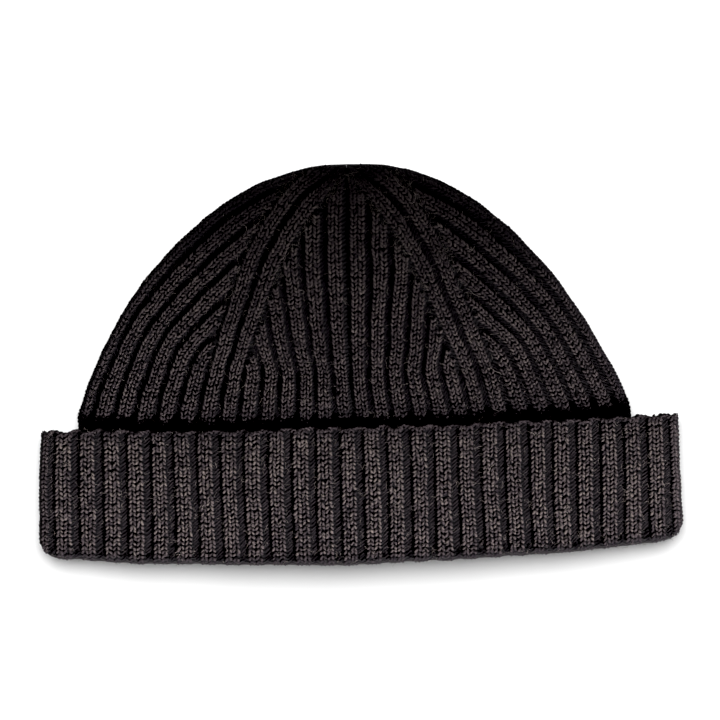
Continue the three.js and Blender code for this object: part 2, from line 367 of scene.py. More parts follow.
def cuff_fold_height(x):
    """The height of the fold at the rim, bowed down in the middle and rounded up at the corners."""
    bow = 1 - (x / CUFF_HALF_WIDTH) ** 2
    in_corner = np.clip((x - CUFF_HALF_WIDTH) / CORNER_ROUND + 1, 0, 0.98)
    lift = CORNER_ROUND * (1 - np.sqrt(1 - in_corner**2))
    return lift - CUFF_END_DEPTH - (CUFF_DEPTH - CUFF_END_DEPTH + CUFF_TOP_DIP) * bow


def cuff_top_height(x):
    """The height of the cuff's top edge, which dips in the middle."""
    return -CUFF_TOP_DIP * (1 - (x / CUFF_HALF_WIDTH) ** 2)


def cuff_straight(x):
    """The length of the outer wall from its top edge to where it turns round the rim."""
    return cuff_top_height(x) - cuff_fold_height(x) - RIM_FOLD_RADIUS


def cuff_point(rib, down, inset):
    """Points of the outer wall, this far down from its top edge, and on round the fold at the rim."""
    rib, down, inset = np.broadcast_arrays(np.asarray(rib, float), np.asarray(down, float), inset)
    x, layer, side = cuff_plan(rib)
    top = cuff_top_height(x)
    straight = cuff_straight(x)
    turn = np.clip((down - straight) / RIM_FOLD_RADIUS, 0, math.pi)
    total_inset = RIM_FOLD_RADIUS - (RIM_FOLD_RADIUS - inset) * np.cos(turn)
    height = top - np.minimum(down, straight) - (RIM_FOLD_RADIUS - inset) * np.sin(turn)
    points = surface(CuffTube, x, 0, total_inset, layer, side)
    points[..., 1] = height + EDGE_Y
    shift = np.where(side < 0, END_SHIFT["left"], END_SHIFT["right"])
    flare = np.where(side < 0, END_FLARE["left"], END_FLARE["right"]) * np.clip(down / CUFF_END_DEPTH, 0, 1)
    points[..., 0] += side * (shift + flare) * (x / CUFF_HALF_WIDTH) ** 8
    return points


def inner_wall_point(rib, share, inset):
    """Points of the body's wall in the cuff, at a share of the way from the fold to the join."""
    rib, share, inset = np.broadcast_arrays(np.asarray(rib, float), np.asarray(share, float), inset)
    join = -JOIN_DEPTH - JOIN_GAP
    height = -CUFF_DEPTH + (join + CUFF_DEPTH) * share
    counted, layer, side = quarter_of(rib)
    front_x, _ = body_plan("front", np.minimum(counted, RIBS_IN_HALF_GORE), height / CROWN_RISE)
    from_fold = np.minimum(RIBS_IN_QUARTER - counted, RIBS_IN_HALF_GORE)
    side_x, _ = body_plan("side", from_fold, height / CROWN_RISE)
    x = np.where(counted <= RIBS_IN_HALF_GORE, front_x, side_x)
    pressed = EDGE_SINK * smooth(0.75, 1.0, share)
    points = surface(Body, x, height, inset + pressed, layer, side)
    outer_x, _, _ = cuff_plan(rib)
    fold = cuff_fold_height(outer_x) + RIM_FOLD_RADIUS
    points[..., 1] = fold + (join - fold) * share + EDGE_Y
    return points


def uneven(points):
    """The cloth's own unevenness: nothing in it lies quite straight, and the floor presses it flat."""
    moved = points.copy()
    for wave, reach in UNEVENNESS:
        phase = points @ wave["along"].T + wave["start"]
        moved += reach * np.sin(phase) @ wave["push"]
    soft = FLOOR_SOFTNESS
    moved[:, 2] = FLOOR_GAP + soft * np.logaddexp(0, (moved[:, 2] - FLOOR_GAP) / soft)
    return moved


def new_mesh(name, points, triangles, attributes=(), layout=None):
    """A mesh object from arrays: points in millimetres, corners of triangles, and for each point or
    corner its values."""
    mesh = bpy.data.meshes.new(name)
    mesh.vertices.add(len(points))
    mesh.vertices.foreach_set("co", (uneven(points) * MM).astype(np.float32).ravel())
    mesh.loops.add(3 * len(triangles))
    mesh.loops.foreach_set("vertex_index", triangles.astype(np.int32).ravel())
    mesh.polygons.add(len(triangles))
    mesh.polygons.foreach_set("loop_start", np.arange(len(triangles), dtype=np.int32) * 3)
    mesh.polygons.foreach_set("use_smooth", np.ones(len(triangles), bool))
    for label, values in attributes:
        made = mesh.attributes.new(label, "FLOAT", "POINT")
        made.data.foreach_set("value", values.astype(np.float32).ravel())
    if layout is not None:
        mesh.uv_layers.new(name="knit").uv.foreach_set("vector", layout.astype(np.float32).ravel())
    mesh.update(calc_edges=True)
    mesh.validate()
    piece = bpy.data.objects.new(name, mesh)
    bpy.context.scene.collection.objects.link(piece)
    return piece


class Patches:
    """Grids of points that are welded into one mesh, each with its place in ribs and in rows and its share
    of painted shade, kept as depth.
    """

    def __init__(self):
        self.points, self.places, self.depths, self.triangles, self.count = [], [], [], [], 0

    def add(self, points, ribs, rows, depths, flipped):
        high, wide = points.shape[:2]
        index = np.arange(high * wide).reshape(high, wide) + self.count
        a, b = index[:-1, :-1].ravel(), index[:-1, 1:].ravel()
        d, c = index[1:, :-1].ravel(), index[1:, 1:].ravel()
        order = [(a, c, b), (a, d, c)] if flipped else [(a, b, c), (a, c, d)]
        self.triangles += [np.stack(corners, axis=1) for corners in order]
        self.points.append(points.reshape(-1, 3))
        places = np.stack(np.broadcast_arrays(ribs, rows), axis=-1)
        self.places.append(np.broadcast_to(places, (high, wide, 2)).reshape(-1, 2))
        self.depths.append(np.broadcast_to(depths, (high, wide)).ravel())
        self.count += high * wide

    def mesh(self, name):
        points = np.concatenate(self.points)
        places = np.concatenate(self.places)
        loose = np.concatenate(self.triangles)
        keys = np.round(points * 1e4).astype(np.int64)
        _, first, merged = np.unique(keys, axis=0, return_index=True, return_inverse=True)
        merged = merged.ravel()
        joined = merged[loose]
        kept = np.all(joined != np.roll(joined, 1, axis=1), axis=1)
        depths = np.concatenate(self.depths)[first]
        layout = places[loose[kept]].reshape(-1, 2)
        return new_mesh(name, points[first], joined[kept], [("depth", depths)], layout)


def crown_core():
    """The closed ribbed wall under the crown's stitches."""
    patches = Patches()
    bottom = -JOIN_DEPTH / CROWN_RISE
    field_ribs = np.arange(ENDING_RIBS * STEPS_IN_RIB + 1) / STEPS_IN_RIB
    border_ribs = ENDING_RIBS + np.arange(STEPS_IN_RIB + 1) / STEPS_IN_RIB
    rows = {"outside": 48, "inside": 20}

    def insets(shell, gore, depth_ribs, along):
        if shell == "outside":
            standing = crown_standing(gore, depth_ribs, along)
            away = from_fold(gore, depth_ribs) * (1 - 0.5 * smooth(0.9, 1.0, along))
            return core_inset(away) + CROWN_KNIT.inset(depth_ribs, standing)
        return WALL - INNER_RELIEF * (1 - CROWN_KNIT.depth(depth_ribs))

    def grids_of(shell, gore, layer, side):
        """The grid of ribs that end at the seam, and the grid of the rib beside the seam."""
        share = np.linspace(0, 1, rows[shell] + 1)[:, None]
        field_along = bottom + (end_of_rib(field_ribs)[None, :] - bottom) * share
        lower = field_along[:, -1]
        upper = end_of_rib(field_ribs[::-1][1:])
        border_along = np.concatenate([lower, upper])[:, None]
        inner_ribs = np.concatenate([np.full(len(lower), float(ENDING_RIBS)), field_ribs[::-1][1:]])
        depth_ribs = np.broadcast_to(border_ribs, (len(border_along), len(border_ribs))).copy()
        depth_ribs[:, 0] = inner_ribs
        grids = []
        for ribs, along, depths in (
            (np.broadcast_to(field_ribs, field_along.shape), field_along, field_ribs[None, :]),
            (np.broadcast_to(border_ribs, depth_ribs.shape), border_along, depth_ribs),
        ):
            at_top = WALL if shell == "inside" else core_inset(0.5)
            inset = np.where(along < 1, insets(shell, gore, depths, along), at_top)
            points = crown_point(gore, ribs, along, inset, layer, side)
            # Painted shade: the outer core is painted dark all over, the inner one in its gutters
            core_painted_shade = np.maximum(CROWN_KNIT.depth(depths), shell == "outside")
            grids.append((points, ribs, along * CROWN_RISE / ROW_PITCH, core_painted_shade))
        return grids

    for side in (1, -1):
        for layer in (1, -1):
            for gore in ("front", "side"):
                mirrored = side * layer * (1 if gore == "front" else -1) < 0
                outside = grids_of("outside", gore, layer, side)
                inside = grids_of("inside", gore, layer, side)
                for out, within in zip(outside, inside):
                    patches.add(*out, mirrored)
                    patches.add(*within, not mirrored)
                    hem = np.stack([within[0][0], out[0][0]])
                    patches.add(hem, out[1][:1], out[2][:1], 1.0, mirrored)
    return patches.mesh("crown_knit")


def bound_off_place(rib):
    """How far down the bound-off edge lies: it stands higher over the gutters than over the ribs."""
    return EDGE_DROP - EDGE_SCALLOP * np.cos(2 * math.pi * rib)


def cuff_core():
    """The closed ribbed wall under the cuff's stitches: out, round the fold and up inside."""
    patches = Patches()
    ribs = (np.arange(RIBS_AROUND * STEPS_IN_RIB + 1) / STEPS_IN_RIB)[None, :]
    x, _, _ = cuff_plan(ribs)
    straight = cuff_straight(x)
    full = straight + math.pi * RIM_FOLD_RADIUS
    edge = bound_off_place(ribs)
    lines = []

    def outer(down):
        return core_inset(cuff_from_edges(ribs, down)) + CUFF_KNIT.inset(ribs, cuff_standing(ribs, down))

    def fading(down):
        return 1 - smooth(0.5, 1.0, (down - straight) / (math.pi * RIM_FOLD_RADIUS))

    # Painted shade on the cuff's core: painted dark, and lighter on its folds
    def core_painted_shade(down):
        return 1 - FOLD_PAINTED_LIGHT * (1 - cuff_from_edges(ribs, down))

    for share in np.linspace(0, 1, 25):
        down = edge + (straight - edge) * share
        lines.append((cuff_point(ribs, down, outer(down)), down, core_painted_shade(down)))
    for share in np.linspace(0, 1, 17)[1:]:
        down = straight + (full - straight) * share
        lines.append((cuff_point(ribs, down, outer(down) * fading(down)), down, core_painted_shade(down)))
    for share in np.linspace(0.06, 1, 16):
        down = full + share * CUFF_DEPTH
        relief = INNER_RELIEF * (1 - smooth(0.75, 0.95, share))
        inner_inset = WALL - relief * (1 - CUFF_KNIT.depth(ribs))
        lines.append((inner_wall_point(ribs, share, inner_inset), down, CUFF_KNIT.depth(ribs)))
    behind = outer(edge)
    for share in np.linspace(1, 0.1, 6):
        lines.append((inner_wall_point(ribs, share, behind), full, 1.0))
    lines.append((cuff_point(ribs, straight, WALL + LAYER_GAP), full, 1.0))
    for share in np.linspace(1, 0, 6):
        down = edge + (straight - edge) * share
        lines.append((cuff_point(ribs, down, WALL), down, 1.0))
    rounded = edge - EDGE_CURVE
    lines.append((cuff_point(ribs, rounded, (WALL + behind) / 2), rounded, 1.0))
    lines.append(lines[0])
    points = np.concatenate([line[0] for line in lines])
    rows = np.concatenate([np.broadcast_to(line[1], ribs.shape) for line in lines]) / ROW_PITCH
    depths = np.concatenate([np.broadcast_to(line[2], ribs.shape) for line in lines])
    patches.add(points, np.broadcast_to(ribs, rows.shape), rows, depths, True)
    return patches.mesh("cuff_knit")


class Stations:
    """Places for stitches: a point on the knit's nominal face, the three directions there, the
    width of a rib in millimetres and the place in ribs."""

    def __init__(self, point_at, standing_at, rib, along, rib_step, along_step, light=1.0):
        self.rib = np.broadcast_to(np.asarray(rib, float), np.shape(along))
        # Painted light: each station's share, 1 where no shade is painted on its stitches
        self.light = np.broadcast_to(light, np.shape(along))
        self.standing = np.broadcast_to(standing_at(self.rib, along), np.shape(along))
        self.point = point_at(self.rib, along, 0.0)
        self.normal = unit(self.point - point_at(self.rib, along, 1.0))
        forward = point_at(self.rib, along + along_step, 0.0) - point_at(self.rib, along - along_step, 0.0)
        self.forward = unit(forward - dot(forward, self.normal) * self.normal)
        wide = point_at(self.rib + rib_step, along, 0.0) - point_at(self.rib - rib_step, along, 0.0)
        across = np.cross(self.forward, self.normal)
        sign = np.sign(dot(across, wide))
        self.across = across * np.where(sign == 0, 1, sign)
        self.rib_width = np.clip(dot(wide, self.across)[..., 0] / (2 * rib_step), 2.0, 12.0)


def dot(a, b):
    """Dot products of rows of vectors, each kept as a row."""
    return np.sum(a * b, axis=-1, keepdims=True)


def unit(a):
    """Vectors brought to length one."""
    return a / np.maximum(np.linalg.norm(a, axis=-1, keepdims=True), 1e-9)


def evenly(point_at, rib, start, end, pitch):
    """Values between start and end, an even pitch apart along the surface."""
    fine = np.linspace(start, end, 160)
    points = point_at(np.full(fine.shape, float(rib)), fine, 0.0)
    travelled = np.concatenate([[0], np.cumsum(np.linalg.norm(np.diff(points, axis=0), axis=1))])
    count = max(int(travelled[-1] / pitch), 0)
    return np.interp((np.arange(count) + 0.5) * pitch, travelled, fine)


class Tubes:
    """Short closed tubes of yarn, gathered from many stations into one mesh."""

    def __init__(self, sides):
        self.sides, self.count = sides, 0
        self.points, self.triangles, self.tones, self.crests = [], [], [], []

    def add(self, centres, radii, normals, tones, light, flat=0.9):
        """centres is tubes by rings by 3, with a tip for the first and the last ring."""
        number, rings = centres.shape[:2]
        if not number:
            return
        tangent = unit(np.gradient(centres, axis=1))
        sideways = unit(np.cross(tangent, normals[:, None, :]))
        upward = np.cross(sideways, tangent)
        angle = 2 * math.pi * np.arange(self.sides) / self.sides + math.pi / 2
        ring = (
            np.cos(angle)[None, None, :, None] * sideways[:, 1:-1, None, :]
            + flat * np.sin(angle)[None, None, :, None] * upward[:, 1:-1, None, :]
        )
        body = centres[:, 1:-1, None, :] + ring * radii[:, 1:-1, None, None]
        points = np.concatenate([centres[:, :1], body.reshape(number, -1, 3), centres[:, -1:]], axis=1)
        self.points.append(points.reshape(-1, 3))
        size = points.shape[1]
        template = tube_triangles(self.sides, rings - 2)
        starts = self.count + np.arange(number) * size
        self.triangles.append((starts[:, None, None] + template[None]).reshape(-1, 3))
        self.tones.append(np.repeat(tones, size))
        # Painted shade: each tube is painted lighter on its top and darker on its sides and towards its
        # tips, times the painted light it is given
        thick = (radii / np.maximum(radii.max(axis=1, keepdims=True), 1e-9))[:, 1:-1, None]
        crest_shade = thick * np.clip(0.42 + 0.58 * np.sin(angle), 0, 1) * light[:, None, None]
        tip = np.zeros((number, 1))
        self.crests.append(np.concatenate([tip, crest_shade.reshape(number, -1), tip], axis=1).ravel())
        self.count += number * size

    def mesh(self, name):
        attributes = [("tone", np.concatenate(self.tones)), ("crest_shade", np.concatenate(self.crests))]
        return new_mesh(name, np.concatenate(self.points), np.concatenate(self.triangles), attributes)


def tube_triangles(sides, rings):
    """Corners of a tube's triangles: a tip, its rings and the other tip."""
    around = np.arange(sides)
    after = (around + 1) % sides
    last = 1 + rings * sides
    faces = [np.stack([np.zeros(sides, int), 1 + after, 1 + around], axis=1)]
    for ring in range(rings - 1):
        low, high = 1 + ring * sides, 1 + (ring + 1) * sides
        faces.append(np.stack([low + around, low + after, high + after], axis=1))
        faces.append(np.stack([low + around, high + after, high + around], axis=1))
    top = 1 + (rings - 1) * sides
    faces.append(np.stack([top + around, top + after, np.full(sides, last)], axis=1))
    return np.concatenate(faces)


# One leg of a knit stitch's V, from the bottom up: its distance from the wale's middle as a share of
# the wale's width, its place along the wale in rows, its height in yarn radii and its girth
LEG = {
    "across": [0.07, 0.13, 0.24, 0.35, 0.41],
    "along": [-0.58, -0.34, 0.0, 0.34, 0.58],
    "height": [-1.7, -0.4, 0.05, -0.3, -1.7],
    "girth": [0.0, 0.84, 1.0, 0.84, 0.0],
}

# A purl bar across a gutter: places across in ribs, along in rows, height in yarn radii, girth
BAR = {
    "across": [-0.16, -0.11, -0.01, 0.09, 0.13],
    "along": [-0.9, -0.6, 0.0, 0.6, 0.9],
    "height": [-1.5, -0.35, 0.0, -0.35, -1.5],
    "girth": [0.0, 0.7, 0.82, 0.7, 0.0],
}

# Sides of the yarn's tubes, how far the crown's stitches go on behind the cuff, the shares of the
# crown where those that reach the top end, and the loops of the bound-off edge
LEG_SIDES = 5
BAR_SIDES = 4
HIDDEN_STITCHES = 4.0
WALES_END = 0.985
BARS_END = 0.97
LOOPS_IN_RIB = 6
LOOP_RADIUS = 0.40

# Stray hairs on the front, on the back, and a few long ones on the front
HAIR_STEPS = 8
HAIRS = (
    {"count": 2200, "layer": 1, "length": 3.2, "radius": 0.030, "lift": 0.35},
    {"count": 900, "layer": -1, "length": 3.0, "radius": 0.030, "lift": 0.0},
    {"count": 26, "layer": 1, "length": 5.5, "radius": 0.075, "lift": 0.7},
)


def laid(stations, across, along, height):
    """Points laid off from the stations in their own directions, in millimetres."""
    return (
        stations.point[:, None, :]
        + across[..., None] * stations.across[:, None, :]
        + along[..., None] * stations.forward[:, None, :]
        + height[..., None] * stations.normal[:, None, :]
    )


def calm(stations):
    """1 where the knit faces up or down and 0 at its silhouette, where stitches lie flatter."""
    return smooth(0.6, 0.97, np.abs(stations.normal[:, 2:3]))


def add_legs(tubes, stations, knit):
    """Both legs of a V at each station of a wale."""
    number = len(stations.rib)
    wale_width = stations.rib_width * knit.wale
    shape = {name: np.array(values)[None, :] for name, values in LEG.items()}
    for hand in (-1, 1):
        loose = random.normal(0, 1, (number, 6)) * (0.35 + 0.65 * calm(stations))
        steep = 1 + 0.2 * loose[:, 4:5]
        across = hand * (shape["across"] + 0.03 * loose[:, 0:1]) * wale_width[:, None]
        along = (shape["along"] * steep + 0.14 * loose[:, 1:2]) * ROW_PITCH
        radius = YARN_RADIUS * (1 + 0.13 * loose[:, 2:3]) * np.clip(wale_width[:, None] / 2.6, 0.55, 1.2)
        place = stations.rib[:, None] + across / stations.rib_width[:, None]
        inset = knit.inset(place, stations.standing[:, None]) + FOLD_SINK * (1 - calm(stations))
        height = shape["height"] * radius - inset + 0.14 * loose[:, 3:4]
        centres = laid(stations, across, along, height)
        # Painted shade: legs that lie down in a gutter are painted darker
        light = (1 - 0.6 * knit.depth(place[:, 2])) * stations.light
        tones = np.clip(0.5 + 0.25 * loose[:, 5], 0, 1)
        tubes.add(centres, shape["girth"] * radius, stations.normal, tones, light)


def add_bars(tubes, stations, knit, slant):
    """A purl bar at each station of a gutter."""
    number = len(stations.rib)
    shape = {name: np.array(values)[None, :] for name, values in BAR.items()}
    loose = random.normal(0, 1, (number, 5))
    across = shape["across"] * stations.rib_width[:, None]
    along = (shape["along"] * slant + 0.12 * loose[:, 1:2]) * BAR_PITCH
    radius = YARN_RADIUS * knit.bar_girth * (1 + 0.14 * loose[:, 2:3])
    inset = knit.inset(stations.rib[:, None] + shape["across"], stations.standing[:, None])
    inset = inset + FOLD_SINK * (1 - calm(stations))
    height = shape["height"] * radius - inset + 0.08 * loose[:, 3:4]
    centres = laid(stations, across, along, height)
    # Painted shade on the purl bars in the gutters
    light = knit.bar_painted_shade * stations.light
    tones = np.clip(0.5 + 0.25 * loose[:, 4], 0, 1)
    tubes.add(centres, shape["girth"] * radius, stations.normal, tones, light)


def crown_painted_shade(gore, rib, along):
    """Painted shade on the crown's yarn: darker behind the cuff and for 11 mm above its edge, on the side
    folds and at the very top.
    """
    _, y = body_plan(gore, rib, along)
    fold_reach = 1.0 + 1.4 * smooth(0.35, 0.65, along)
    at_fold = 1 - smooth(0.2, fold_reach, rib) if gore == "side" else 0.0
    at_top = smooth(0.84, 1.0, along)
    return (0.4 + 0.45 * smooth(2, 11, y)) * (1 - 0.75 * at_fold) * (1 - 0.85 * at_top)


def cuff_painted_shade(rib, down):
    """Painted shade on the cuff's yarn: darker along its bound-off edge, low down, round the rim and on its
    folds.
    """
    x, _, _ = cuff_plan(rib)
    at_top = 0.5 * (1 - smooth(0.5, 4.5, down))
    low_down = 0.15 * smooth(0.6 * CUFF_DEPTH, CUFF_DEPTH, down)
    round_rim = 0.27 * smooth(-2, 3, down - cuff_straight(x))
    return (1 - at_top - low_down - round_rim) * (0.3 + 0.7 * cuff_from_edges(rib, down))


def cuff_end(rib):
    """How far down a wale's stitches go: most of the way round the fold at the rim."""
    x, _, _ = cuff_plan(rib)
    return float(cuff_straight(x) + 0.85 * math.pi * RIM_FOLD_RADIUS)


def lays_gutter(gore, rib, side):
    """Whether a gutter is laid from this gore and side: one that two of them share is laid once."""
    if rib == 0:
        return gore == "front" and side > 0
    return rib < RIBS_IN_HALF_GORE or gore == "front"


def crown_stitches(layer, label):
    """The crown's wales and purl bars on one layer, as two pieces."""
    wales, bars = Tubes(LEG_SIDES), Tubes(BAR_SIDES)
    start = -HIDDEN_STITCHES / CROWN_RISE
    for side in (1, -1):
        for gore in ("front", "side"):

            def point_at(rib, along, inset, gore=gore, side=side):
                return crown_point(gore, rib, along, inset, layer, side)

            def standing_at(rib, along, gore=gore):
                return crown_standing(gore, rib, along)

            for rib in range(RIBS_IN_HALF_GORE):
                for place in CROWN_KNIT.wales:
                    wale = rib + place
                    end = float(end_of_rib(wale)) if rib < ENDING_RIBS else WALES_END
                    along = evenly(point_at, wale, start, end, ROW_PITCH)
                    # Painted shade on the crown's stitches
                    light = crown_painted_shade(gore, wale, along)
                    stations = Stations(point_at, standing_at, wale, along, 0.02, 0.002, light)
                    add_legs(wales, stations, CROWN_KNIT)
            for rib in range(RIBS_IN_HALF_GORE + 1):
                if not lays_gutter(gore, rib, side):
                    continue
                end = min(float(end_of_rib(rib)), BARS_END) if rib <= ENDING_RIBS else BARS_END
                along = evenly(point_at, rib, start, end, BAR_PITCH)
                stations = Stations(point_at, standing_at, float(rib), along, 0.02, 0.002)
                add_bars(bars, stations, CROWN_KNIT, side)
    return wales.mesh(f"crown_stitches_{label}"), bars.mesh(f"crown_purls_{label}")


def cuff_stitches(layer, label):
    """The cuff's wales and purl bars on one layer, from the top edge down and round the fold."""
    wales, bars = Tubes(LEG_SIDES), Tubes(BAR_SIDES)
    first = -RIBS_IN_QUARTER if layer > 0 else RIBS_IN_QUARTER
    for rib in range(first, first + 2 * RIBS_IN_QUARTER):
        for place in CUFF_KNIT.wales:
            wale = (rib + place) % RIBS_AROUND
            down = evenly(cuff_point, wale, 0.6, cuff_end(wale), ROW_PITCH)
            stations = Stations(cuff_point, cuff_standing, wale, down, 0.02, 0.1, cuff_painted_shade(wale, down))
            add_legs(wales, stations, CUFF_KNIT)
        gutter = (rib + 1e-6) % RIBS_AROUND
        down = evenly(cuff_point, gutter, 0.0, cuff_end(gutter), BAR_PITCH)
        stations = Stations(cuff_point, cuff_standing, gutter, down, 0.02, 0.1, cuff_painted_shade(gutter, down))
        add_bars(bars, stations, CUFF_KNIT, -1.0)
    return wales.mesh(f"cuff_stitches_{label}"), bars.mesh(f"cuff_purls_{label}")


def bound_off_edge():
    """The loops of the bound-off row along the cuff's top edge."""
    loops = Tubes(LEG_SIDES)
    ribs = (np.arange(RIBS_AROUND * LOOPS_IN_RIB) + 0.5) / LOOPS_IN_RIB
    stations = Stations(cuff_point, cuff_standing, ribs, bound_off_place(ribs), 0.02, 0.1)
    number = len(ribs)
    loose = random.normal(0, 1, (number, 6))
    turn = np.linspace(-0.35, math.pi + 0.35, 9)[None, :] + 0.25 * loose[:, 4:5]
    width = stations.rib_width[:, None] / LOOPS_IN_RIB * 0.6 * (1 + 0.15 * loose[:, 3:4])
    across = width * np.cos(turn) + 0.12 * loose[:, :1]
    along = -0.85 * (1 + 0.25 * loose[:, 1:2]) * np.sin(turn) + 0.35
    place = ribs[:, None] + across / stations.rib_width[:, None]
    height = -0.7 * CUFF_KNIT.inset(place) - 0.7 - 0.3 * np.cos(2 * turn) + 0.2 * loose[:, 2:3]
    centres = laid(stations, across, along, height)
    girth = np.array([0, 1, 1, 1, 1, 1, 1, 1, 0])[None, :] * LOOP_RADIUS * (1 + 0.1 * loose[:, 3:4])
    tones = np.clip(0.5 + 0.25 * loose[:, 5], 0, 1)
    # Painted shade: the edge's loops are painted at half light
    loops.add(centres, girth, stations.normal, tones, np.full(number, 0.5), 1.0)
    return loops.mesh("bound_off_edge")


def hair_roots(number, layer):
    """Places on the knit for hairs, a little over half of them on the crown, and the normals there."""
    on_crown = random.uniform(0, 1, number) < 0.55
    points = np.zeros((number, 3))
    normals = np.zeros((number, 3))
    for gore in ("front", "side"):
        chosen = on_crown & (random.uniform(0, 1, number) < (0.5 if gore == "front" else 1.0))
        on_crown = on_crown & ~chosen
        rib = random.uniform(0, RIBS_IN_HALF_GORE, number)
        along = random.uniform(0, 0.97, number)
        side = np.where(random.uniform(0, 1, number) < 0.5, 1, -1)
        at = crown_point(gore, rib, along, 0.0, layer, side)
        under = crown_point(gore, rib, along, 1.0, layer, side)
        points[chosen], normals[chosen] = at[chosen], unit(at - under)[chosen]
    rest = ~np.any(points, axis=1)
    middle_rib = 0 if layer > 0 else 2 * RIBS_IN_QUARTER
    rib = (random.uniform(-RIBS_IN_QUARTER, RIBS_IN_QUARTER, number) + middle_rib) % RIBS_AROUND
    down = random.uniform(0.3, CUFF_DEPTH, number)
    at, under = cuff_point(rib, down, 0.0), cuff_point(rib, down, 1.0)
    points[rest], normals[rest] = at[rest], unit(at - under)[rest]
    return points, normals


def stray_fibres():
    """Fine curled hairs that stand off the wool, rooted in it and bent at random."""
    hairs = Tubes(3)
    t = np.linspace(0, 1, HAIR_STEPS)[None, :]
    arch = np.sin(math.pi * np.minimum(t * 1.3, 1))
    root = -0.25
    for group in HAIRS:
        number = group["count"]
        points, normals = hair_roots(number, group["layer"])
        heading = unit(np.cross(normals, random.normal(0, 1, (number, 3))))
        swing = np.cross(normals, heading)
        bend = random.normal(0, 2.6, (number, 1))
        length = group["length"] * random.uniform(0.5, 1.5, (number, 1))
        wave = bend * t + random.uniform(-0.8, 0.8, (number, 1)) * np.sin(2 * math.pi * t * 1.5)
        along = np.cumsum(np.cos(wave), axis=1) / HAIR_STEPS * length
        across = np.cumsum(np.sin(wave), axis=1) / HAIR_STEPS * length
        rise = root + (group["lift"] - root) * arch * random.uniform(0.3, 1, (number, 1))
        centres = (
            points[:, None, :]
            + along[..., None] * heading[:, None, :]
            + across[..., None] * swing[:, None, :]
            + rise[..., None] * normals[:, None, :]
        )
        girth = np.full((number, HAIR_STEPS), group["radius"])
        hairs.add(centres, girth, normals, random.uniform(0.3, 1, number), np.ones(number), 1.0)
    return hairs.mesh("stray_fibres")


# Colours in linear light
FIBRE_DARK = (0.0046, 0.0034, 0.0060, 1)
FIBRE_MIDDLE = (0.049, 0.0385, 0.0415, 1)
FIBRE_LIGHT = (0.134, 0.112, 0.099, 1)
CORE_DARK = (0.0018, 0.0014, 0.0024, 1)
CORE_LIGHT = (0.052, 0.050, 0.051, 1)
HAIR_COLOUR = (0.42, 0.36, 0.33, 1)
SHEEN_TINT = (0.80, 0.68, 0.66, 1)
FLOOR_DARK = (0.84, 0.84, 0.84, 1)
FLOOR_LIGHT = (0.86, 0.86, 0.86, 1)


class Shader:
    """A small helper that builds one material's nodes."""

    def __init__(self, name, roughness, sheen):
        self.material = bpy.data.materials.new(name)
        self.material.use_nodes = True
        self.nodes = self.material.node_tree.nodes
        self.links = self.material.node_tree.links
        self.surface = self.nodes["Principled BSDF"]
        self.surface.inputs["Roughness"].default_value = roughness
        self.surface.inputs["Specular IOR Level"].default_value = 0.05
        self.surface.inputs["Sheen Weight"].default_value = sheen
        self.surface.inputs["Sheen Roughness"].default_value = 0.55
        self.surface.inputs["Sheen Tint"].default_value = SHEEN_TINT

    def feed(self, socket, value):
        """Links another node's output to a socket, or sets the socket to a plain value."""
        if isinstance(value, bpy.types.NodeSocket):
            self.links.new(value, socket)
        else:
            socket.default_value = value

    def node(self, kind, settings=(), **inputs):
        made = self.nodes.new(kind)
        for name, value in dict(settings).items():
            setattr(made, name, value)
        for name, value in inputs.items():
            self.feed(made.inputs[name], value)
        return made

    def noise(self, scale, detail=2.0, roughness=0.5):
        where = self.node("ShaderNodeTexCoord").outputs["Object"]
        made = self.node("ShaderNodeTexNoise", Vector=where, Scale=scale, Detail=detail, Roughness=roughness)
        return made.outputs["Fac"]

    def math(self, operation, a, b=0.0, clamp=False):
        made = self.node("ShaderNodeMath", {"operation": operation, "use_clamp": clamp})
        self.feed(made.inputs[0], a)
        self.feed(made.inputs[1], b)
        return made.outputs[0]

    def attribute(self, name):
        return self.node("ShaderNodeAttribute", {"attribute_name": name}).outputs["Fac"]

    def ramp(self, factor, low, high, middle=None, middle_place=0.35):
        made = self.node("ShaderNodeValToRGB", Fac=factor)
        made.color_ramp.elements[0].color = low
        made.color_ramp.elements[1].color = high
        if middle:
            made.color_ramp.elements.new(middle_place).color = middle
        return made.outputs["Color"]

    def bump(self, height, distance, strength=1.0, under=None):
        inputs = {"Height": height, "Distance": distance, "Strength": strength}
        if under is not None:
            inputs["Normal"] = under
        return self.node("ShaderNodeBump", **inputs).outputs["Normal"]

    def finish(self, **inputs):
        """Feeds the surface and gives back the material. An underscore stands for a space."""
        for name, value in inputs.items():
            self.feed(self.surface.inputs[name.replace("_", " ")], value)
        return self.material


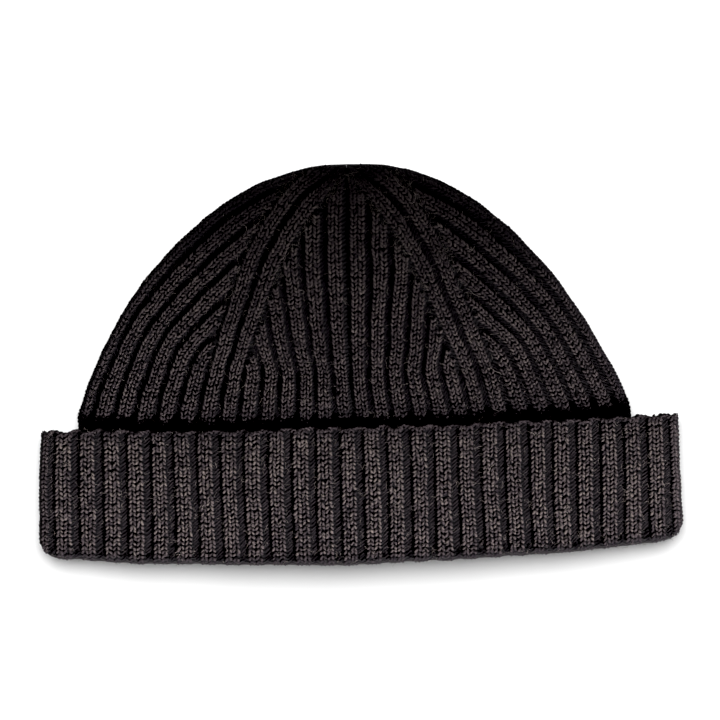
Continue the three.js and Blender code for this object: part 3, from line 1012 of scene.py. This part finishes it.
def yarn_material(name, low, middle, high, sheen=0.04):
    """Spun wool: dull and hairy, with painted shade where a stitch dips and on the sides of its yarn, each
    stitch a little lighter or darker.
    """
    shader = Shader(name, 0.9, sheen)
    patches = shader.noise(55.0, 3.0)
    fibres = shader.noise(3000.0, 3.0, 0.65)
    strands = shader.noise(900.0, 2.0)
    tone = shader.math("MULTIPLY", shader.attribute("tone"), 0.6)
    mixed = shader.math("ADD", shader.math("MULTIPLY", fibres, 1.6), tone)
    mixed = shader.math("ADD", mixed, shader.math("MULTIPLY", patches, 0.6))
    mixed = shader.math("ADD", mixed, shader.math("MULTIPLY", strands, 0.8))
    lightness = shader.math("SUBTRACT", mixed, 1.25, True)
    # Painted shade: the yarn is darker on its sides, at the tips of each tube and by the painted light of
    # its stitch
    crest_shade = shader.math("POWER", shader.attribute("crest_shade"), 1.3)
    lightness = shader.math("MULTIPLY", lightness, crest_shade, True)
    colour = shader.ramp(lightness, low, high, middle)
    coarse = shader.bump(strands, 0.0004, 0.8)
    fine = shader.bump(fibres, 0.00016, 0.9, coarse)
    rough = shader.math("ADD", shader.math("MULTIPLY", fibres, 0.2), 0.78, True)
    return shader.finish(Base_Color=colour, Normal=fine, Roughness=rough)


def core_material(name, low, high):
    """The knit seen between the stitches and inside the hat: rows of V's in relief, with painted shade that
    makes it lighter where the V's stand and dark in the gutters.
    """
    shader = Shader(name, 0.95, 0.03)
    where = shader.node("ShaderNodeUVMap", {"uv_map": "knit"}).outputs["UV"]
    split = shader.node("ShaderNodeSeparateXYZ", Vector=where)
    wales = shader.math("MULTIPLY", split.outputs["X"], 1 / CROWN_KNIT.wale)
    chevron = shader.math("PINGPONG", wales, 0.5)
    rows = shader.math("ADD", split.outputs["Y"], shader.math("MULTIPLY", chevron, 1.4))
    wave = shader.math("SINE", shader.math("MULTIPLY", rows, 2 * math.pi))
    lifted = shader.math("ADD", shader.math("MULTIPLY", wave, 0.5), 0.5)
    fibres = shader.noise(2600.0, 3.0, 0.65)
    patches = shader.noise(60.0, 3.0)
    # Painted shade: lighter where the V's stand, darker between them, and darker still in the gutters and on
    # hidden faces
    mixed = shader.math("ADD", shader.math("MULTIPLY", lifted, 0.45), shader.math("MULTIPLY", fibres, 0.5))
    mixed = shader.math("ADD", mixed, shader.math("MULTIPLY", patches, 0.25))
    core_painted_shade = shader.math("MULTIPLY", shader.attribute("depth"), 0.85)
    lightness = shader.math("MULTIPLY", mixed, shader.math("SUBTRACT", 1.0, core_painted_shade), True)
    colour = shader.ramp(lightness, low, high)
    coarse = shader.bump(lifted, 0.0006, 0.9)
    fine = shader.bump(fibres, 0.0002, 0.8, coarse)
    rough = shader.math("ADD", shader.math("MULTIPLY", fibres, 0.15), 0.82, True)
    return shader.finish(Base_Color=colour, Normal=fine, Roughness=rough)


def floor_material():
    """A plain pale floor with a faint grain."""
    shader = Shader("pale_floor", 0.7, 0.0)
    colour = shader.ramp(shader.noise(40.0, 2.0), FLOOR_DARK, FLOOR_LIGHT)
    return shader.finish(Base_Color=colour)


def dress(piece, material, replaced=None):
    """Finishes a piece, lets it ride on the hat's body and puts it among the hat's pieces."""
    piece.data.materials.append(material)
    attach(piece, "root")
    if replaced:
        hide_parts(replaced)
    hat_pieces.objects.link(piece)


def soft_box(name, place, target, size, power, receivers, spread=math.pi):
    """An area light that lights only the pieces of one collection. Its width runs so that a narrow
    spread lights a band along X."""
    data = bpy.data.lights.new(name, "AREA")
    data.shape = "RECTANGLE"
    data.size, data.size_y = size
    data.energy = power
    data.spread = spread
    lamp = bpy.data.objects.new(name, data)
    beam = (Vector(target) - Vector(place)).normalized()
    wide = (Vector((1, 0, 0)) - beam.x * beam).normalized()
    axes = Matrix((wide, (-beam).cross(wide), -beam)).transposed()
    lamp.matrix_world = Matrix.Translation(place) @ axes.to_4x4()
    bpy.context.scene.collection.objects.link(lamp)
    lamp.light_linking.receiver_collection = receivers


hat_pieces = bpy.data.collections.new("hat_pieces")
stage_pieces = bpy.data.collections.new("stage_pieces")

core_wool = core_material("core_wool", CORE_DARK, CORE_LIGHT)
crown_yarn = yarn_material("crown_yarn", FIBRE_DARK, FIBRE_MIDDLE, FIBRE_LIGHT)
cuff_yarn = yarn_material("cuff_yarn", FIBRE_DARK, FIBRE_MIDDLE, FIBRE_LIGHT)
hair = yarn_material("stray_hair", FIBRE_MIDDLE, FIBRE_LIGHT, HAIR_COLOUR, 0.3)

dress(crown_core(), core_wool, "crown")
dress(cuff_core(), core_wool, "cuff")
for layer, label in ((1, "front"), (-1, "back")):
    for piece in crown_stitches(layer, label):
        dress(piece, crown_yarn)
    for piece in cuff_stitches(layer, label):
        dress(piece, cuff_yarn)
dress(bound_off_edge(), cuff_yarn)
dress(stray_fibres(), hair)

# The floor lies just under the hat, in metres
FLOOR_SIZE = 6.0
FLOOR_HEIGHT = -0.0001
bpy.ops.mesh.primitive_plane_add(size=FLOOR_SIZE, location=(0, 0, FLOOR_HEIGHT))
floor = bpy.context.object
floor.name = "floor"
floor.data.materials.append(floor_material())
stage_pieces.objects.link(floor)

# Each light has its place, target and size in metres and its power in watts. The key's narrow beam
# is aimed at the rim, so that its light falls off towards the top of the crown.
RIM = (0.0, -0.073, 0.015)
HAT_MIDDLE = (0.0, 0.0, 0.01)
KEY_BEAM = math.radians(9.5)
soft_box("key", (0.42, -0.90, 0.82), RIM, (0.9, 0.05), 1.25, hat_pieces, KEY_BEAM)
soft_box("fill", (0.35, -0.75, 1.0), HAT_MIDDLE, (0.5, 0.5), 0.05, hat_pieces)
soft_box("back", (0.0, 1.20, 0.18), HAT_MIDDLE, (1.0, 0.1), 4.0, hat_pieces)
soft_box("floor_light", (0.0, 0.335, 1.24), HAT_MIDDLE, (1.2, 1.0), 34.0, stage_pieces)

WORLD_STRENGTH = 0.03
world = bpy.data.worlds.new("studio")
bpy.context.scene.world = world
world.use_nodes = True
world.node_tree.nodes["Background"].inputs["Color"].default_value = (1, 1, 1, 1)
world.node_tree.nodes["Background"].inputs["Strength"].default_value = WORLD_STRENGTH

# The photograph looks straight down, with the hat turned a little on it. The camera's distance is
# guessed, and its lens fits the picture to the hat.
PHOTO_PIXELS = 720
PIXEL_SIZE = 0.375 * MM
PHOTO_TURN = math.radians(-1.65)
HAT_PIXEL = (357.0, 361.2)
CAMERA_HEIGHT = 1.2
MEAN_FACE_HEIGHT = 0.012
SENSOR = 36.0

camera_data = bpy.data.cameras.new("camera")
camera_data.sensor_width = SENSOR
camera_data.lens = SENSOR * (CAMERA_HEIGHT - MEAN_FACE_HEIGHT) / (PHOTO_PIXELS * PIXEL_SIZE)
camera = bpy.data.objects.new("camera", camera_data)
right = (PHOTO_PIXELS / 2 - HAT_PIXEL[0]) * PIXEL_SIZE
up = (HAT_PIXEL[1] - PHOTO_PIXELS / 2) * PIXEL_SIZE
camera.location = (right, up, CAMERA_HEIGHT)
camera.rotation_euler = (0, 0, PHOTO_TURN)
bpy.context.scene.collection.objects.link(camera)
bpy.context.scene.camera = camera

BLACK_LEVEL = 0.003
view = bpy.context.scene.view_settings
view.view_transform = "Standard"
view.use_curve_mapping = True
view.curve_mapping.black_level = (BLACK_LEVEL, BLACK_LEVEL, BLACK_LEVEL)
view.curve_mapping.update()
